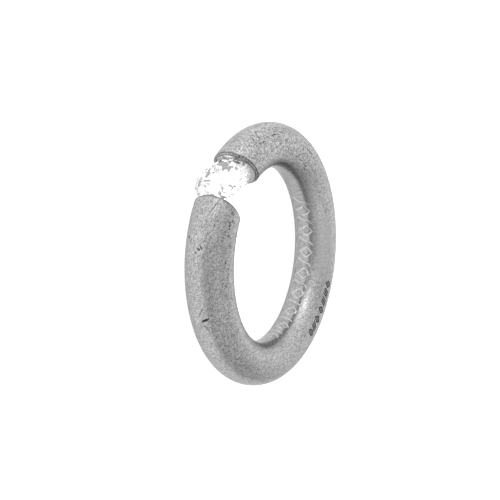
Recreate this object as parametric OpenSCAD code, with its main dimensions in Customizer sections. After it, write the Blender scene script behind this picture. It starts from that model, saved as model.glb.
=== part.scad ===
// A tension set ring: an open hoop of thick round metal, lying on its side, whose two
// ends grip a round brilliant cut stone by its girdle and nothing else holds it.
// Millimetres. The origin is the middle of the finger hole, +Z runs along the finger
// and the stone is on the -Y side.

/* [Band] */
// Finger size: diameter of the hole at its narrowest
inside_d = 17.3; // [15.5:0.1:20]
// Thickness of the round metal
metal_d = 4.5; // [4.2:0.1:5.5]
// Width of the bevel around each end face
bevel = 0.24; // [0.1:0.02:0.3]

/* [Slot] */
// From the middle of the stone's girdle to the left end face
left_reach = 2.14; // [2:0.01:2.4]
// From the middle of the stone's girdle to the right end face
right_reach = 2.42; // [2.1:0.01:2.5]
// Lean of the slot towards the left end, away from the ring's radius
slot_lean = 1; // [0:0.5:3]

/* [Stone] */
// Diameter of the stone at its girdle
stone_d = 5.34; // [5.2:0.02:5.6]
// Width of the table from corner to corner, as a share of the diameter
table_share = 0.57; // [0.53:0.01:0.62]
// Height of the crown, as a share of the diameter
crown_share = 0.15; // [0.13:0.005:0.16]
// Thickness of the girdle, as a share of the diameter
girdle_share = 0.04; // [0.03:0.005:0.05]
// Depth of the pavilion, as a share of the diameter
pavilion_share = 0.455; // [0.42:0.005:0.46]
// Length of the lower halves from the girdle towards the point
lower_half_share = 0.77; // [0.7:0.01:0.85]
// How far the girdle lies outside the middle of the metal
girdle_out = 0.88; // [0.6:0.02:1]
// Lean of the stone's axis towards the left end
stone_lean = 4.4; // [0:0.1:9]
// Turn of the facets about the stone's axis
stone_turn = 0; // [0:2.5:45]

/* [Seat] */
// Clearance between the stone and the grooves that hold it
seat_play = 0.02; // [0.01:0.01:0.05]

/* [Hidden] */
$fn = 96;

metal_r = metal_d / 2;
ring_r = inside_d / 2 + metal_r;
girdle_r = stone_d / 2;
seat_r = ring_r + girdle_out;

// Heights along the stone's axis, from the middle of the girdle
girdle_z = girdle_share * stone_d / 2;
table_z = girdle_z + crown_share * stone_d;
culet_z = -girdle_z - pavilion_share * stone_d;

// Eight mains around the stone; a star or a pair of halves lies between two of them
main_count = 8;
sector = 360 / main_count;
half = sector / 2;

// The crown mains run from the girdle up to the corners of the table
table_r = table_share * girdle_r;
crown_slope = (table_z - girdle_z) / (girdle_r - table_r);
star_r = (table_r * cos(half) + girdle_r) / 2;
star_z = table_z - crown_slope * (star_r * cos(half) - table_r);

// The pavilion mains run from the girdle down to the point
pavilion_slope = (-girdle_z - culet_z) / girdle_r;
keel_r = (1 - lower_half_share) * girdle_r;
keel_z = culet_z + pavilion_slope * keel_r * cos(half);

// Straight steps of the girdle across one half facet, and around the whole stone
half_steps = 4;
girdle_steps = 2 * half_steps * main_count;

function polar(r, a, z) = [r * cos(a), r * sin(a), z];

// Height at which the plane through three corners meets the girdle's wall at angle a
function wall_z(p, q, s, a) =
    let (n = cross(q - p, s - p), at = polar(girdle_r, a, 0))
    p.z - (n.x * (at.x - p.x) + n.y * (at.y - p.y)) / n.z;

// Edge of the girdle, scalloped where the half facets cut into it. The mains touch it
// at height z, and each half facet also passes through tip, between two mains.
function girdle_edge(z, tip) = [
    for (i = [0 : girdle_steps - 1])
        let (step = i % (2 * half_steps),
             a = min(step, 2 * half_steps - step) * half / half_steps,
             h = wall_z(polar(girdle_r, 0, z), polar(girdle_r, half, z), tip, a))
        polar(girdle_r, i * 360 / girdle_steps, h)
];

// Eight corners on a circle, turned by a
function corners(r, a, z) = [for (i = [0 : main_count - 1]) polar(r, i * sector + a, z)];

// Both end faces run in this direction, an angle in the plane of the ring
slot_angle = -90 - slot_lean;

// The point of an end face that lies beside the middle of the girdle, and the point where
// the face crosses the middle circle of the metal. side is -1 at the left end, 1 at the
// right end.
function face_foot(side) =
    let (reach = side * (side < 0 ? left_reach : right_reach))
    [-reach * sin(slot_angle), -seat_r + reach * cos(slot_angle)];
function face_middle(side) =
    let (foot = face_foot(side), out = [cos(slot_angle), sin(slot_angle)], along = foot * out)
    foot + out * (sqrt(along * along - foot * foot + ring_r * ring_r) - along);

module at_stone()
    translate([0, -seat_r, 0]) rotate([0, 0, -stone_lean]) rotate([90, 0, 0]) children();

// The slot sawn through the metal, with parallel sides
module slot() {
    width = left_reach + right_reach;
    translate([0, -seat_r, 0]) rotate([0, 0, -slot_lean])
        translate([-left_reach, -metal_d, -metal_d]) cube([width, 2 * metal_d, 2 * metal_d]);
}

// Cuts the rim of one end face with a cone at 45 degrees to it, centred on the metal
module rim_bevel(side) {
    middle = face_middle(side);
    small_r = metal_r - bevel;
    past = metal_r / 2;
    translate([middle.x, middle.y, 0]) rotate([0, 0, slot_angle - side * 90]) rotate([0, 90, 0])
        rotate_extrude()
            polygon([[small_r - past, past], [small_r + past, -past],
                     [small_r + 2 * past, past]]);
}

// The grooves: the stone's own outline turned about its axis, a little larger
module seat() {
    at_stone() rotate_extrude()
        polygon([[0, culet_z - seat_play], [keel_r + seat_play, keel_z - seat_play],
                 [girdle_r + seat_play, -girdle_z - seat_play],
                 [girdle_r + seat_play, girdle_z + seat_play],
                 [star_r + seat_play, star_z + seat_play],
                 [table_r + seat_play, table_z + seat_play], [0, table_z + seat_play]]);
}

module band() {
    color([0.66, 0.66, 0.66]) difference() {
        rotate_extrude() translate([ring_r, 0]) circle(metal_r);
        slot();
        for (side = [-1, 1]) rim_bevel(side);
        seat();
    }
}

// Round brilliant: table, stars, mains and upper halves above the girdle, mains and
// lower halves below it, meeting in a point.
module stone() {
    points = concat(corners(table_r, 0, table_z), corners(star_r, half, star_z),
                    girdle_edge(girdle_z, polar(star_r, half, star_z)),
                    girdle_edge(-girdle_z, polar(keel_r, half, keel_z)),
                    corners(keel_r, half, keel_z), [[0, 0, culet_z]]);
    star = main_count;
    upper = 2 * main_count;
    lower = upper + girdle_steps;
    keel = lower + girdle_steps;
    culet = keel + main_count;
    function turn(i, n) = (i + n) % n;
    // A half facet's stretch of a girdle edge, from step first
    function stretch(edge, first) =
        [for (j = [0 : half_steps]) edge + turn(first + j, girdle_steps)];
    function backwards(list) = [for (j = [len(list) - 1 : -1 : 0]) list[j]];
    mains = [0 : main_count - 1];
    faces = concat(
        [backwards([for (i = mains) i])],
        [for (i = mains) [i, turn(i + 1, main_count), star + i]],
        [for (i = mains)
            [i, star + i, upper + 2 * half_steps * i, star + turn(i - 1, main_count)]],
        [for (i = mains, k = [0, 1])
            concat([star + i], backwards(stretch(upper, (2 * i + k) * half_steps)))],
        [for (j = [0 : girdle_steps - 1])
            let (next = turn(j + 1, girdle_steps))
            [lower + j, upper + j, upper + next, lower + next]],
        [for (i = mains, k = [0, 1])
            concat([keel + i], stretch(lower, (2 * i + k) * half_steps))],
        [for (i = mains)
            [culet, keel + turn(i - 1, main_count), lower + 2 * half_steps * i, keel + i]]);
    color([0.93, 0.94, 0.95]) at_stone() rotate([0, 0, stone_turn])
        polyhedron(points, faces);
}

band();
stone();
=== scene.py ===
import bpy
import numpy as np
from mathutils import Matrix, Vector


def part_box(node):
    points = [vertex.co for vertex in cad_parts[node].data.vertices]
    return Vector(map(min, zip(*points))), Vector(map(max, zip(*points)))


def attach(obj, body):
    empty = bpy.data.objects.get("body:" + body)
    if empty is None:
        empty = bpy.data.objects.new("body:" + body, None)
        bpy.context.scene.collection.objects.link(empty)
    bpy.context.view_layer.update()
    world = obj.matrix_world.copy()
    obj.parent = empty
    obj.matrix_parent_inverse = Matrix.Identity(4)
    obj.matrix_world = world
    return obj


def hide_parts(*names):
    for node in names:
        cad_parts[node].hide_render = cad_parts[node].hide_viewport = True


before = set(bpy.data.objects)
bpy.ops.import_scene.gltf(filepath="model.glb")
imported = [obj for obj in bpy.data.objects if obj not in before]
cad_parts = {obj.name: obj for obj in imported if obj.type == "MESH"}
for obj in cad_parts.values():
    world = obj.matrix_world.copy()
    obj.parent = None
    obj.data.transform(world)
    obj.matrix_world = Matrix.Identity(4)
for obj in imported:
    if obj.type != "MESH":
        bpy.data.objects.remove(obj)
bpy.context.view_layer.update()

# The band
# One round bar of satin white metal bent to an open hoop. Its ends are sawn flat, their
# rims bevelled with a file, and each face has a pocket cut for the edge of the stone,
# which the spring of the hoop holds fast.
mm = 0.001
band_low, band_high = (np.array(corner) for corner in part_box("band"))
stone_low, stone_high = (np.array(corner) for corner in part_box("stone"))
bar_r = (band_high[2] - band_low[2]) / 2
hoop_r = band_high[0] - bar_r
inside_r = hoop_r - bar_r
girdle_r = (stone_high[2] - stone_low[2]) / 2
bevel = 0.24 * mm
fillet = 0.04 * mm

# Both ends are cut parallel, a reach to each side of the middle of the stone's girdle.
# The cut and the stone's axis lean a little towards the left end, in degrees.
LEFT, RIGHT = -1, 1
face_reach = {LEFT: 2.14 * mm, RIGHT: 2.42 * mm}
slot_lean = 1
stone_lean = 4.4
girdle_out = 0.88 * mm
seat = np.array([0, -hoop_r - girdle_out])


def directions(degrees):
    """Direction in the plane of the hoop at an angle from +X, and the direction a quarter
    turn on from it: (cos, sin) and (-sin, cos)."""
    angle = np.radians(degrees)
    return np.array([np.cos(angle), np.sin(angle)]), np.array([-np.sin(angle), np.cos(angle)])


slot_outward, slot_across = directions(-90 - slot_lean)
outward, across = directions(-90 - stone_lean)

# A pocket has the stone's own outline turned about its axis, with a little play: heights
# from the middle of the girdle against radii. Shares are of the girdle's radius.
girdle_share = 0.04
crown_share = 0.3
pavilion_share = 0.91
table_share = 0.57
facet_half = np.radians(22.5)
girdle_half = girdle_share * girdle_r
table_r = table_share * girdle_r
table_height = girdle_half + crown_share * girdle_r
crown_slope = (table_height - girdle_half) / (girdle_r - table_r)
star_r = (table_r * np.cos(facet_half) + girdle_r) / 2
star_height = table_height - crown_slope * (star_r * np.cos(facet_half) - table_r)
culet_height = -girdle_half - pavilion_share * girdle_r
edge_heights = [culet_height, -girdle_half, girdle_half, star_height, table_height]
edge_radii = [0, girdle_r, girdle_r, star_r, table_r]
seat_play = 0.02 * mm


def bar_point(turn, around, inset):
    """Point of the bar: turn goes round the hoop, around goes round the bar's section from
    its outermost line over the top, and inset is the depth below the round surface."""
    section_r = bar_r - inset
    reach = hoop_r + section_r * np.cos(around)
    point = (reach * np.cos(turn), reach * np.sin(turn), section_r * np.sin(around))
    return np.stack(np.broadcast_arrays(*point), -1)


def face_turn(side, around, inset):
    """Turn at which a line along the bar meets an end's plane: where the line's circle
    about the ring's axis crosses the plane's trace."""
    foot = seat + side * face_reach[side] * slot_across
    reach = hoop_r + (bar_r - inset) * np.cos(around)
    along = foot @ slot_outward
    step = np.sqrt(along ** 2 - foot @ foot + reach ** 2) - along
    turn = np.arctan2(foot[1] + step * slot_outward[1], foot[0] + step * slot_outward[0])
    return turn + (2 * np.pi if side == LEFT else 0)


def corner_path(width, radius, steps):
    """A 45 degree bevel of that width with a small fillet at both edges, as distances from
    the end plane along the bar and insets below its surface."""
    tangent = radius * np.tan(np.pi / 8)
    sweep = np.linspace(0, np.pi / 4, steps)
    from_plane = width + tangent - radius * np.sin(sweep)
    inset = radius * (1 - np.cos(sweep))
    return np.r_[from_plane, inset[::-1]], np.r_[inset, from_plane[::-1]]


def pocket(side, points):
    """The end plane's points with the stone's pocket cut in: a point inside the edge of the
    stone moves along the across direction until it lies on that edge. Also returns how far
    inside each point was."""
    local = points[..., :2] - seat
    edge = np.interp(local @ outward, edge_heights, edge_radii) + seat_play
    wall = np.sqrt(np.maximum(edge ** 2 - points[..., 2] ** 2, 0))
    depth = wall - side * (local @ across)
    moved = points.copy()
    moved[..., :2] += side * np.maximum(depth, 0)[..., None] * across
    return moved, depth


def end_face(side, around, inner, outer):
    """The middle of one end face's pocket, and rows from there out to the face's rim: inner
    rows in the pocket and the others on the flat. Rays from the girdle's foot cross the
    pocket's outline, which is found by halving, and a row lies exactly on it."""
    halvings = 30
    rim = bar_point(face_turn(side, around, rim_inset), around, rim_inset)
    foot = seat + side * face_reach[side] * slot_across
    middle = np.array([foot[0], foot[1], 0])
    ray = rim - middle
    near, far = np.zeros(len(around)), np.ones(len(around))
    for _ in range(halvings):
        half = (near + far) / 2
        inside = pocket(side, middle + half[:, None] * ray)[1] > 0
        near, far = np.where(inside, half, near), np.where(inside, far, half)
    shares = [near * k / inner for k in range(1, inner + 1)]
    shares += [near + (1 - near) * k / outer for k in range(1, outer)]
    flat = middle + np.array(shares)[..., None] * ray
    rows = pocket(side, flat)[0]
    rows[inner - 1:] = flat[inner - 1:]
    return pocket(side, middle[None])[0][0], rows


# The ornament engraved inside the hoop: lozenges with a slanted stroke after each. A
# stroke is (x, y, x, y), with x along the bar, counted in half the ornament's height.
ORNAMENT = {"from": np.radians(46), "to": np.radians(167), "middle": np.radians(181.5)}
ornament_pitch = 2.3 * mm
ornament_half = 0.7 * mm
ornament_start = 0.3 * ornament_pitch
engraved_width = 0.2 * mm
engraved_deep = 0.05 * mm
LOZENGE = [(-.75, 0, 0, 1), (0, 1, .75, 0), (.75, 0, 0, -1), (0, -1, -.75, 0)]
SLANT = [(1.25, -1, 2.1, 1)]

# Two groups of small punch marks on the side: a lozenge round a dot, and three slanted
# strokes side by side. Each mark has its place along the row in mm.
PUNCH = {"from": np.radians(73), "middle": np.radians(98.5)}
punch_half = 0.42 * mm
punched_width = 0.22 * mm
punched_deep = 0.08 * mm
STUD = [(-.8, 0, 0, .9), (0, .9, .8, 0), (.8, 0, 0, -.9), (0, -.9, -.8, 0), (-.1, 0, .1, 0)]
HATCH = [(x - .3, -.8, x + .3, .8) for x in (-.65, 0, .65)]
PUNCHES = [(0.45, STUD), (1.35, HATCH), (2.3, STUD), (3.5, STUD), (4.5, HATCH), (5.5, HATCH),
           (6.5, STUD)]

# Knocks from wear: turn and around at both ends in degrees, width and depth in mm
KNOCKS = [
    (-27, 4, -28.5, 23, 0.16, 0.08),
    (-27.5, 8, -28, 18, 0.26, 0.12),
    (-25, 13, -23, 18, 0.13, 0.03),
    (-25, -4, -24.5, 1, 0.15, 0.03),
    (-61.5, -32, -61, -31, 0.22, 0.06),
    (-58, 8, -57, 12, 0.20, 0.05),
    (-57, 2, -56.5, 7, 0.20, 0.06),
    (-55.5, -4, -55, -1, 0.18, 0.05),
    (-52, 71, -51.5, 73, 0.20, 0.05),
    (233, 54, 232.5, 56, 0.20, 0.07),
    (201.5, 83.5, 195, 86, 0.20, 0.06),
]


def stroke_depth(x, y, strokes, width, depth):
    """Depth of V cuts along straight strokes: falls in a line from the stroke's middle to
    nothing at half its width, and the deepest cut wins."""
    result = np.zeros(np.broadcast(x, y).shape)
    for x0, y0, x1, y1 in strokes:
        dx, dy = x1 - x0, y1 - y0
        share = np.clip(((x - x0) * dx + (y - y0) * dy) / (dx * dx + dy * dy), 0, 1)
        gap = np.hypot(x - x0 - share * dx, y - y0 - share * dy)
        result = np.maximum(result, depth * (1 - gap / (width / 2)))
    return result


def engraved_depth(turn, around):
    """Depth of the ornament below the round surface: the same lozenge and slant again and
    again along the inside of the hoop, a pitch apart."""
    length = (ORNAMENT["to"] - ORNAMENT["from"]) * inside_r
    strokes = []
    for k in range(round(length / ornament_pitch)):
        middle = ornament_start + k * ornament_pitch
        for x0, y0, x1, y1 in LOZENGE + SLANT:
            strokes.append((middle + x0 * ornament_half, y0 * ornament_half,
                            middle + x1 * ornament_half, y1 * ornament_half))
    x = (turn - ORNAMENT["from"]) * inside_r
    y = (around - ORNAMENT["middle"]) * bar_r
    return stroke_depth(x, y, strokes, engraved_width, engraved_deep)


def struck_depth(turn, around):
    """Depth of the punch marks and knocks below the round surface: each mark's strokes are
    laid out flat, in metres along the bar and around it from the mark's own place."""
    depth = np.zeros(np.broadcast(turn, around).shape)
    for place, marks in PUNCHES:
        reach = hoop_r + bar_r * np.cos(PUNCH["middle"])
        x = (turn - PUNCH["from"]) * reach - place * mm
        y = (around - PUNCH["middle"]) * bar_r
        strokes = [tuple(punch_half * value for value in mark) for mark in marks]
        depth = np.maximum(depth, stroke_depth(x, y, strokes, punched_width, punched_deep))
    for turn0, around0, turn1, around1, width, deep in KNOCKS:
        reach = hoop_r + bar_r * np.cos(np.radians(around0))
        x = (turn - np.radians(turn0)) * reach
        y = (around - np.radians(around0)) * bar_r
        end = (np.radians(turn1 - turn0) * reach, np.radians(around1 - around0) * bar_r)
        depth = np.maximum(depth, stroke_depth(x, y, [(0, 0, *end)], width * mm, deep * mm))
    return depth


def graded(start, end, step, zones):
    """Positions from start to end, a step apart, or closer inside each zone (from, to,
    step): the inverse of the running total of 1 / step."""
    fine = np.linspace(start, end, 20000)
    density = np.full(len(fine), 1 / step)
    for zone_from, zone_to, zone_step in zones:
        inside = (fine >= zone_from) & (fine <= zone_to)
        density[inside] = np.maximum(density[inside], 1 / zone_step)
    total = np.concatenate([[0], np.cumsum((density[1:] + density[:-1]) / 2 * np.diff(fine))])
    return np.interp(np.linspace(0, total[-1], int(np.ceil(total[-1])) + 1), total, fine)


def zone_around(middle, spread, step):
    """Zone from a spread below the middle to a spread above it, with that step."""
    return middle - spread, middle + spread, step


def knock_zones(first, last, margin, step):
    """A zone for each knock, from a margin below the lesser of two of its columns to a
    margin above the greater."""
    return [(np.radians(min(knock[first], knock[last]) - margin),
             np.radians(max(knock[first], knock[last]) + margin), step) for knock in KNOCKS]


# Lines of the mesh along the bar and around it, closer where something is cut. The first
# and the last are where the end faces meet the top of the bar, and round the bar they
# start at the bottom. Margins are in degrees, spreads in radians.
turn_step, ornament_turn_step, knock_turn_step = np.radians([1.3, 0.32, 0.25])
around_step, ornament_around_step = np.radians([7, 1.25])
punch_around_step, knock_around_step = np.radians([1.4, 1.6])
ornament_spread, punch_spread = 0.32, 0.2
knock_turn_margin, knock_around_margin = 0.9, 4
top, bottom = np.radians([90, -90])
turns = graded(face_turn(RIGHT, top, 0), face_turn(LEFT, top, 0), turn_step,
               [(ORNAMENT["from"], ORNAMENT["to"], ornament_turn_step)]
               + knock_zones(0, 2, knock_turn_margin, knock_turn_step))
arounds = graded(bottom, bottom + 2 * np.pi, around_step,
                 [zone_around(ORNAMENT["middle"], ornament_spread, ornament_around_step),
                  zone_around(PUNCH["middle"], punch_spread, punch_around_step)]
                 + knock_zones(1, 3, knock_around_margin, knock_around_step))[:-1]

# The lines near an end follow its bevel, and the rest lie straight across the bar
fillet_steps = 4
corner_along, corner_inset = corner_path(bevel, fillet, fillet_steps)
rim_inset = corner_inset[-1]
start = face_turn(RIGHT, arounds, 0) + corner_along[0] / (hoop_r + bar_r * np.cos(arounds))
end = face_turn(LEFT, arounds, 0) - corner_along[0] / (hoop_r + bar_r * np.cos(arounds))
blend_length = np.radians(14)
near_start = np.clip(1 - (turns - turns[0]) / blend_length, 0, 1)[:, None]
near_end = np.clip(1 - (turns[-1] - turns) / blend_length, 0, 1)[:, None]
row_turn = turns[:, None] + near_start * (start - turns[0]) + near_end * (end - turns[-1])
engraved = engraved_depth(row_turn, arounds[None])
struck = struck_depth(row_turn, arounds[None])
bar_rows = bar_point(row_turn, arounds[None], np.maximum(engraved, struck))


def corner_rows(side):
    """Rows of one end's bevel, from the round surface to the end plane."""
    rows = []
    for along, inset in zip(corner_along, corner_inset):
        reach = hoop_r + (bar_r - inset) * np.cos(arounds)
        turn = face_turn(side, arounds, inset) + side * along / reach
        rows.append(bar_point(turn, arounds, inset))
    return np.array(rows)


pocket_rows, flat_rows = 12, 8
right_middle, right_face = end_face(RIGHT, arounds, pocket_rows, flat_rows)
left_middle, left_face = end_face(LEFT, arounds, pocket_rows, flat_rows)
rows = np.concatenate([right_face, corner_rows(RIGHT)[::-1], bar_rows[1:-1],
                       corner_rows(LEFT), left_face[::-1]])
row_count, column_count = rows.shape[:2]


def grid_faces(row_count, column_count):
    """Quads between the rows of a surface that closes round its columns, with a fan of
    triangles to one point at each end. Points are numbered row by row, then the two ends."""
    first = np.arange(row_count * column_count).reshape(row_count, column_count)
    beside = np.roll(first, -1, axis=1)
    quads = np.stack([first[:-1], first[1:], beside[1:], beside[:-1]], -1).reshape(-1, 4)
    start_point, end_point = first.size, first.size + 1
    start_fan = np.stack([np.full(column_count, start_point), first[0], beside[0]], -1)
    end_fan = np.stack([np.full(column_count, end_point), beside[-1], first[-1]], -1)
    return quads, start_fan, end_fan


def mesh_from(name, points, face_groups):
    """A mesh from an array of points and arrays of faces, put in with foreach_set."""
    corners = np.concatenate([group.ravel() for group in face_groups]).astype(np.int32)
    sizes = np.concatenate([np.full(len(group), group.shape[1]) for group in face_groups])
    starts = np.concatenate([[0], np.cumsum(sizes)[:-1]]).astype(np.int32)
    mesh = bpy.data.meshes.new(name)
    mesh.vertices.add(len(points))
    mesh.vertices.foreach_set("co", points.astype(np.float32).ravel())
    mesh.loops.add(len(corners))
    mesh.loops.foreach_set("vertex_index", corners)
    mesh.polygons.add(len(sizes))
    mesh.polygons.foreach_set("loop_start", starts)
    mesh.update(calc_edges=True)
    mesh.validate()
    return mesh


def put_in_scene(name, data):
    """A new object at the origin, with that mesh or camera in it."""
    thing = bpy.data.objects.new(name, data)
    bpy.context.scene.collection.objects.link(thing)
    return thing


quads, start_fan, end_fan = grid_faces(row_count, column_count)
points = np.concatenate([rows.reshape(-1, 3), [right_middle, left_middle]])
band_mesh = mesh_from("satin_band", points, [quads, start_fan, end_fan])
band = put_in_scene("satin_band", band_mesh)
sharpest_smooth = np.radians(32)
band_mesh.polygons.foreach_set("use_smooth", np.ones(len(band_mesh.polygons), bool))
band_mesh.set_sharp_from_angle(angle=sharpest_smooth)

# What the finish needs to know at each point: depth of the cut and of the dent, whether it
# belongs to a sawn end, and how far across the bevel it lies, from 0 on the round to 1 on
# the end. A dent counts in full from the depth given here.
full_dent = 0.05 * mm
face_count = len(right_face)
bar_first = face_count + len(corner_along)
bar = slice(bar_first, row_count - bar_first)
cut_share, dent_share, on_face = np.zeros((3, row_count, column_count))
cut_share[bar] = engraved[1:-1] / engraved_deep
dent_share[bar] = struck[1:-1] / full_dent
on_face[:face_count] = 1
on_face[-face_count:] = 1
across_bevel = np.ones(row_count)
across_bevel[face_count:bar_first] = corner_inset[::-1] / rim_inset
across_bevel[bar] = 0
across_bevel[-bar_first:-face_count] = corner_inset / rim_inset
on_rim = np.repeat(across_bevel[:, None], column_count, 1)
for name, values in (("cut", cut_share), ("dent", dent_share), ("face", on_face),
                     ("rim", on_rim)):
    layer = band_mesh.attributes.new(name, "FLOAT", "POINT")
    padded = np.concatenate([values.ravel(), [values[0, 0], values[-1, 0]]])
    layer.data.foreach_set("value", np.clip(padded, 0, 1).astype(np.float32))

# Surface coordinates in millimetres, along the bar and around it. The quads that close the
# bar lie between its last line and its first, one whole section further on.
row_along = np.concatenate([np.full(bar_first, turns[0]), turns[1:-1],
                            np.full(bar_first, turns[-1])])
uv = np.stack(np.broadcast_arrays(row_along[:, None] * hoop_r, arounds[None] * bar_r), -1) / mm
section_length = 2 * np.pi * bar_r / mm
closing = np.arange(len(quads)) % column_count == column_count - 1
quad_uv = uv.reshape(-1, 2)[quads]
quad_uv[closing, 2:, 1] += section_length
fan_uv = np.zeros((len(start_fan) + len(end_fan), 3, 2))
layer = band_mesh.uv_layers.new(name="surface")
all_uv = np.concatenate([quad_uv.reshape(-1, 2), fan_uv.reshape(-1, 2)])
layer.data.foreach_set("uv", all_uv.astype(np.float32).ravel())


# The finish of the band
# Fine sanding in many directions leaves a grain on the outside. The inside is rubbed
# smoother by the finger, the cuts carry a painted highlight on their sides and are darker at
# their bottoms, and wear has left scratches and pits.
class Wire:
    """A number in a material. Arithmetic on wires adds the Math nodes that it needs."""

    def __init__(self, nodes, socket):
        self.nodes, self.socket = nodes, socket

    def math(self, operation, *others):
        """One Math node, with this wire first and the others after it."""
        return self.nodes.add("ShaderNodeMath", {"operation": operation},
                              dict(enumerate((self, *others))))["Value"]

    def __add__(self, other):
        return self.math("ADD", other)

    def __sub__(self, other):
        return self.math("SUBTRACT", other)

    def __rsub__(self, other):
        return self * -1 + other

    def __mul__(self, other):
        return self.math("MULTIPLY", other)

    def __pow__(self, other):
        return self.math("POWER", other)

    __radd__, __rmul__ = __add__, __mul__

    def ease(self, low, high):
        """0 below low, 1 above high, and a smooth rise between."""
        values = {"Value": self, "From Min": low, "From Max": high}
        return self.nodes.add("ShaderNodeMapRange", {"interpolation_type": "SMOOTHSTEP"},
                              values)["Result"]


class Nodes:
    """The nodes of one material or of the world, empty at first."""

    def __init__(self, owner):
        owner.use_nodes = True
        self.tree = owner.node_tree
        self.tree.nodes.clear()

    def add(self, kind, settings=None, values=None):
        """One node: its settings first, then a value or a link for each socket, by name or
        number. Returns its outputs as wires, by name."""
        node = self.tree.nodes.new(kind)
        for name, value in (settings or {}).items():
            setattr(node, name, value)
        for key, value in (values or {}).items():
            if isinstance(value, Wire):
                self.tree.links.new(value.socket, node.inputs[key])
            else:
                node.inputs[key].default_value = value
        return {socket.name: Wire(self, socket) for socket in node.outputs if socket.enabled}


def noise(nodes, vector, scale, detail=2.0):
    """Smooth noise about 0, mostly between -1 and 1: four times its distance from a half."""
    values = {"Vector": vector, "Scale": scale, "Detail": detail}
    return (nodes.add("ShaderNodeTexNoise", {"normalize": True}, values)["Fac"] - 0.5) * 4


def stretched(nodes, vector, middle, heading, size):
    """The vector counted from a middle, turned back by a heading in degrees and divided by
    a length and a width."""
    values = {"Vector": vector, "Location": (*middle, 0), "Scale": (*size, 1),
              "Rotation": (0, 0, np.radians(heading))}
    return nodes.add("ShaderNodeMapping", {"vector_type": "TEXTURE"}, values)["Vector"]


def drawn(nodes, surface, heading, along_mm, across_mm):
    """Noise drawn out at one heading from the bar's own direction."""
    return noise(nodes, stretched(nodes, surface, (0, 0), heading, (along_mm, across_mm)), 1, 1)


def mark(nodes, surface, turn, around, heading, length, width):
    """1 on a small mark and 0 away from it: the distance from its middle, counted in its
    half length and half width, eased off from 0.5 to 1.3. Degrees and mm."""
    middle = (np.radians(turn) * hoop_r / mm, np.radians(around) * bar_r / mm)
    spot = stretched(nodes, surface, middle, heading, (length / 2, width / 2))
    distance = nodes.add("ShaderNodeVectorMath", {"operation": "LENGTH"}, {0: spot})["Value"]
    return 1 - distance.ease(0.5, 1.3)


def strongest_mark(nodes, surface, spots):
    """The strongest at each point of the marks at several spots."""
    marks = [mark(nodes, surface, *spot) for spot in spots]
    strongest = marks[0]
    for other in marks[1:]:
        strongest = strongest.math("MAXIMUM", other)
    return strongest


def cells(nodes, vector, scale):
    """Cells that fill space, each round a point of its own: the distance to that point, and
    a random colour for the cell."""
    return nodes.add("ShaderNodeTexVoronoi", {"feature": "F1"},
                     {"Vector": vector, "Scale": scale, "Randomness": 1.0})


def between(nodes, share, low, high):
    """The colour that lies a share of the way from a low colour to a high one."""
    return nodes.add("ShaderNodeMix", {"data_type": "RGBA", "blend_type": "MIX"},
                     {"Factor": share, 6: (*low, 1), 7: (*high, 1)})["Result"]


def cover(nodes, values):
    """The surface's shader with those values, joined to the material's output."""
    shader = nodes.add("ShaderNodeBsdfPrincipled", {}, values)["BSDF"]
    nodes.add("ShaderNodeOutputMaterial", {}, {"Surface": shader})


metal = bpy.data.materials.new("satin_metal")
nodes = Nodes(metal)
place = nodes.add("ShaderNodeTexCoord")["Object"]
surface = nodes.add("ShaderNodeUVMap", {"uv_map": "surface"})["UV"]
cut, dent, face, rim = (nodes.add("ShaderNodeAttribute", {"attribute_name": name})["Fac"]
                        for name in ("cut", "dent", "face", "rim"))
apart = nodes.add("ShaderNodeSeparateXYZ", {}, {"Vector": surface})

# The finger has rubbed a strip either side of the innermost line. Its half width in mm is
# least a third of the way round the hoop, and grows with the square of the distance from
# there up to a limit.
rubbed_least, rubbed_growth, rubbed_most = 0.5, 0.00346, 1.6
innermost = np.pi * bar_r / mm
narrowest = np.radians(120) * hoop_r / mm
from_inside = (apart["Y"] - innermost).math("ABSOLUTE")
from_narrowest = apart["X"] - narrowest
rubbed_strip = (from_narrowest * from_narrowest * rubbed_growth + rubbed_least).math(
    "MINIMUM", rubbed_most)
outside = (from_inside - rubbed_strip).ease(-0.15, 0.35) * 0.85 + 0.15
satin = outside * (1 - face)
inner = (1 - satin) * (1 - face)

# Sanding in every direction: short scratches laid over each other, as heading in degrees
# from the bar's direction, length and spacing in mm, and speckles where one shines
SANDING = [(143, 0.40, 0.08), (62, 0.34, 0.08), (98, 0.30, 0.08), (17, 0.38, 0.08)]
speckles_per_metre = 11000
sanded = [drawn(nodes, surface, *scratches) for scratches in SANDING]
speckle = nodes.add("ShaderNodeSeparateColor", {},
                    {"Color": cells(nodes, place, speckles_per_metre)["Color"]})["Red"] - 0.5
grain = sum(sanded) * 0.35 + speckle * 3.4

# Streaks along the bar, and lines that cross each other on the rubbed inside
streak = drawn(nodes, surface, 2, 2.6, 0.12)
inside_lines = drawn(nodes, surface, 118, 1.4, 0.11) + drawn(nodes, surface, 55, 1.2, 0.11)

# Slow changes of tone over the whole bar, and quicker ones of its gloss
clouds_per_metre, gloss_per_metre = 330, 2300
cloud = noise(nodes, place, clouds_per_metre)
coarse = noise(nodes, place, gloss_per_metre, 1)

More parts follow.
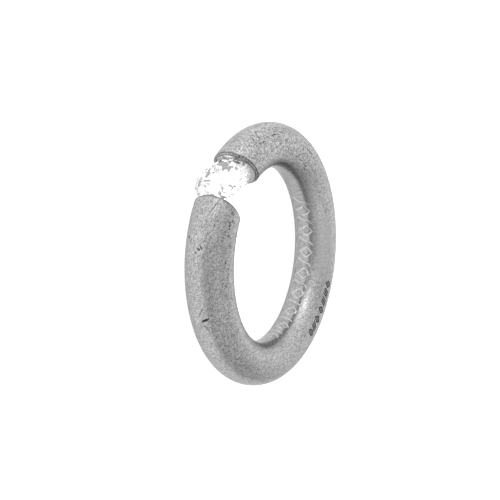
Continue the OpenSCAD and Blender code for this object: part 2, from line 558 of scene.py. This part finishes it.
# Patches that were sanded harder, all one way: turn, around, length and width of the patch,
# heading, length and spacing of its scratches, and their strength
WORKED = [
    (240, 48, 4.6, 3.8, 72, 0.60, 0.08, 0.60),
    (236, 52, 4.6, 3.4, 160, 0.50, 0.08, 0.40),
    (205, 117, 7.0, 1.9, 178, 0.80, 0.10, 0.60),
    (256, 36, 2.2, 3.0, 40, 0.20, 0.09, 0.50),
    (205, 85, 12.0, 4.0, 100, 0.45, 0.10, 0.40),
    (225, 90, 9.0, 3.0, 60, 0.35, 0.10, 0.35),
    (160, 115, 9.0, 3.6, 118, 0.35, 0.10, 0.30),
    (-65, 30, 5.2, 3.4, 145, 1.10, 0.09, 0.26),
    (228, 85, 5.5, 2.4, 165, 0.70, 0.10, 0.40),
]
worked = 0
for turn, around, long, wide, heading, length, spacing, strength in WORKED:
    patch = mark(nodes, surface, turn, around, 0, long, wide)
    worked = patch * strength * drawn(nodes, surface, heading, length, spacing) + worked

# The longer scratches, the larger pits, and the scratches with a painted glint: turn and
# around in degrees, heading, length and width in mm
SCRATCHES = [
    (-74, 26, 157, 1.5, 0.09), (-75.5, 50, 22, 0.4, 0.09),
    (-66, 34, 157, 0.3, 0.09), (-53, 21, 35, 0.5, 0.08),
    (247, 37, 69, 1.2, 0.10), (245.5, 37, 70, 1.1, 0.09),
    (244, 38, 72, 1.0, 0.09), (245, 55, 169, 1.0, 0.10),
    (-24.5, 9, 38, 0.95, 0.08), (-31, 4, 139, 1.4, 0.09),
    (169, 126, 73, 0.45, 0.12), (-44.5, 64, 0, 0.2, 0.18),
    (-48, 67, 20, 0.15, 0.13), (-74, 68, 0, 0.15, 0.13),
    (-71.5, 77, 0, 0.2, 0.14), (-69, 73, 90, 0.2, 0.12),
    (-65, 62, 90, 0.2, 0.14), (-65, 101, 0, 0.2, 0.14),
    (-56, 71, 0, 0.15, 0.13), (-59.5, 84, 150, 0.25, 0.12),
    (195.5, 122, 40, 0.25, 0.18), (176, 170, 0, 0.2, 0.18),
    (153.5, 118, 0, 0.15, 0.15), (75.5, 72, 0, 0.15, 0.15),
]
GLINTS = [(-72, 25, 150, 1.3, 0.07), (-71, 29, 157, 0.7, 0.08),
          (-53.5, 21, 148, 0.65, 0.07), (246, 37, 70, 1.1, 0.08)]
worn_dark = strongest_mark(nodes, surface, SCRATCHES)
painted_scratch_glint = strongest_mark(nodes, surface, GLINTS)

# The side where the next finger rubs is smoother, with painted light on a broad strip of it,
# and the grain is crisper near the left end and again a quarter turn from the stone
rubbed = mark(nodes, surface, 130, 127, 0, 8.5, 2.6)
# Painted light on a broad strip of the side near the finger
painted_light_strip = mark(nodes, surface, 145, 124, 0, 14, 2.9)
crisper = mark(nodes, surface, 225, 85, 0, 17, 8) * 0.5 + 1
crisper = mark(nodes, surface, 12, 60, 0, 18, 9) * 0.25 + crisper
rough_side = satin * (1 - rubbed * 0.55)

# Small pits gather in patches, and most of all along the top of the bar at its right end
pits_per_metre = 2500
pitted = mark(nodes, surface, -58, 72, 0, 9, 1)
from_pit = cells(nodes, place, pits_per_metre)["Distance"]
pit = (1 - from_pit.ease(0.2, 0.36)) * (cloud.ease(0.2, 0.8) * 0.5).math("MAXIMUM", pitted)

# The bevel is filed. It has painted shade all over, painted dark lines along its outer
# edge and near its inner one, and a painted dark line on the round where it meets the bevel
bevelled = (1 - face) * rim.ease(0, 0.1)
painted_bevel_lines = (1 - rim.ease(0.1, 0.35)) + rim.ease(0.6, 0.75) * (1 - rim.ease(0.8, 1)) * 0.8
bar_half = (turns[-1] - turns[0]) / 2 * hoop_r / mm
bar_middle = (turns[-1] + turns[0]) / 2 * hoop_r / mm
from_end = bar_half - (apart["X"] - bar_middle).math("ABSOLUTE")
painted_edge_line = (1 - from_end.ease(0.03, 0.1)) * (1 - face - bevelled)

# The relief that is too fine for the mesh
height = (grain * 0.06 - pit) * rough_side + streak * (0.02 + inner * 0.04)
bump = nodes.add("ShaderNodeBump", {}, {"Strength": 0.6, "Distance": 0.02 * mm,
                                        "Height": height - worn_dark * 0.6})["Normal"]

# How light the metal is: first the grain and the pits, then the rubbed inside, a strip of
# painted light, a painted highlight on the sides of the cuts and darker bottoms, painted
# glints on scratches, the dents and the scratches, and painted shade on the bevel and by it
shade = 1 + rough_side * (grain * crisper * 0.24 + worked - pit * 0.7)
shade = shade - inner * 0.09 + painted_light_strip * 0.25
shade = shade + streak * (1 - face - bevelled) * (0.05 + inner * 0.12)
shade = shade + inner * inside_lines * 0.30 + cloud * 0.02
# Painted highlight on the sides of the engraved lines, their bottoms darker, and painted glints
# on scratches
shade = shade + cut * (1 - cut) * 2.2 - cut.ease(0.8, 1) * 1.1 + painted_scratch_glint * 0.5
shade = shade * (1 - dent.ease(0.1, 0.7) * 0.85) * (1 - worn_dark * 0.6)
# Painted shade over the bevel, and painted dark lines on it and beside it on the round
shade = shade * (1 - bevelled * (painted_bevel_lines * 0.6 + 0.14) - painted_edge_line * 0.35)

# All of it lies about the metal's own tone, and the sawn ends have a little painted shade
metal_tone = 0.347
colour = between(nodes, shade * metal_tone - face * 0.03, (0, 0, 0), (1, 1, 1))

# The sanded side is rougher than the rubbed inside, and the sawn ends are smoothest. The
# tint darkens the metal's outline, where it is seen almost edge on.
rough = 0.23 + satin * 0.16 + coarse * 0.01 + dent * 0.1 - face * 0.08
cover(nodes, {"Base Color": colour, "Metallic": 1.0, "Roughness": rough, "Normal": bump,
              "Specular Tint": (0.75, 0.75, 0.75, 1)})
band_mesh.materials.append(metal)
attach(band, "root")
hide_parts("band")


# The stone
# A clear round brilliant: its facets are polished flat and meet in sharp edges, so the
# solid of the model is shown as it is, with the look of the gem.
gem = bpy.data.materials.new("clear_stone")
nodes = Nodes(gem)
place = nodes.add("ShaderNodeTexCoord")["Object"]
tint = between(nodes, noise(nodes, place, 400) * 0.25 + 0.5, (0.985, 0.99, 1), (1, 1, 1))
# A faint painted glow of the stone's own makes it show whiter
cover(nodes, {"Base Color": tint, "Roughness": 0.0, "IOR": 2.417, "Transmission Weight": 1.0,
              "Emission Color": (1, 1, 1, 1), "Emission Strength": 0.03})
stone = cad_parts["stone"]
stone.data.materials.clear()
stone.data.materials.append(gem)


# The floor
# The ring lies on its side on a pale lit board. The stone is wider than the bar, so the
# edge of its girdle and the far side of the hoop touch the board, which here tips by about
# a degree because the ring stays level.
floor_half = 0.6
tip = np.arctan2(girdle_r - bar_r, hoop_r - seat[1])
board = bpy.data.meshes.new("floor")
floor_plan = [(-floor_half, -floor_half), (floor_half, -floor_half), (floor_half, floor_half),
              (-floor_half, floor_half)]
floor_corners = [(x, y, (y - seat[1]) * np.tan(tip) - girdle_r) for x, y in floor_plan]
board.from_pydata(floor_corners, [], [(0, 1, 2, 3)])
floor = put_in_scene("floor", board)
paper = bpy.data.materials.new("pale_board")
nodes = Nodes(paper)
place = nodes.add("ShaderNodeTexCoord")["Object"]
fibre = between(nodes, noise(nodes, place, 900) * 0.25 + 0.5, (0.60, 0.60, 0.60),
                (0.62, 0.62, 0.62))
cover(nodes, {"Base Color": fibre, "Roughness": 0.9, "Emission Color": (1, 1, 1, 1),
              "Emission Strength": 0.85})
board.materials.append(paper)

# The camera
# It looks down on the ring from the stone's side, turned on its side so that the hoop
# stands up in the picture.
camera_from = Vector((47.85, -74.85, 48.15)) * mm
camera_at = Vector((1.73, -3.15, 0)) * mm
camera_roll = np.radians(95.35)
camera_data = bpy.data.cameras.new("camera")
camera = put_in_scene("camera", camera_data)
facing = (camera_at - camera_from).to_track_quat("-Z", "Y").to_matrix()
camera.matrix_world = (Matrix.Translation(camera_from) @ facing.to_4x4()
                       @ Matrix.Rotation(camera_roll, 4, "Z"))
camera_data.sensor_width = 36
camera_data.lens = 72.75
camera_data.clip_start = 1 * mm
bpy.context.scene.camera = camera

# The light
# A white tent all round, lit through its walls by five broad soft panels and one small
# lamp. Each has its direction as right, up and towards the camera in the picture, its
# strength, and how tight it is.
PANELS = [((1, 1, 0), 0.65, 4), ((0, 1, 1), 1.05, 4), ((1, 0, -1), 1.0, 4),
          ((1, -1, 1), 0.60, 4), ((0, 1, 0), 0.65, 4), ((0.2, 0.83, 0.51), 8, 150)]
tent_level = 0.52
world = bpy.data.worlds.new("tent")
bpy.context.scene.world = world
nodes = Nodes(world)
place = nodes.add("ShaderNodeTexCoord")["Generated"]
in_picture = camera.matrix_world.to_3x3()
level = tent_level
for direction, strength, tight in PANELS:
    toward = (in_picture @ Vector(direction)).normalized()
    towards_panel = nodes.add("ShaderNodeVectorMath", {"operation": "DOT_PRODUCT"},
                              {0: place, 1: tuple(toward)})["Value"]
    level = level + towards_panel.math("MAXIMUM", 0) ** tight * strength
background = nodes.add("ShaderNodeBackground", {}, {"Color": (1, 1, 1, 1), "Strength": level})
nodes.add("ShaderNodeOutputWorld", {}, {"Surface": background["Background"]})
bpy.context.scene.view_settings.view_transform = "Standard"
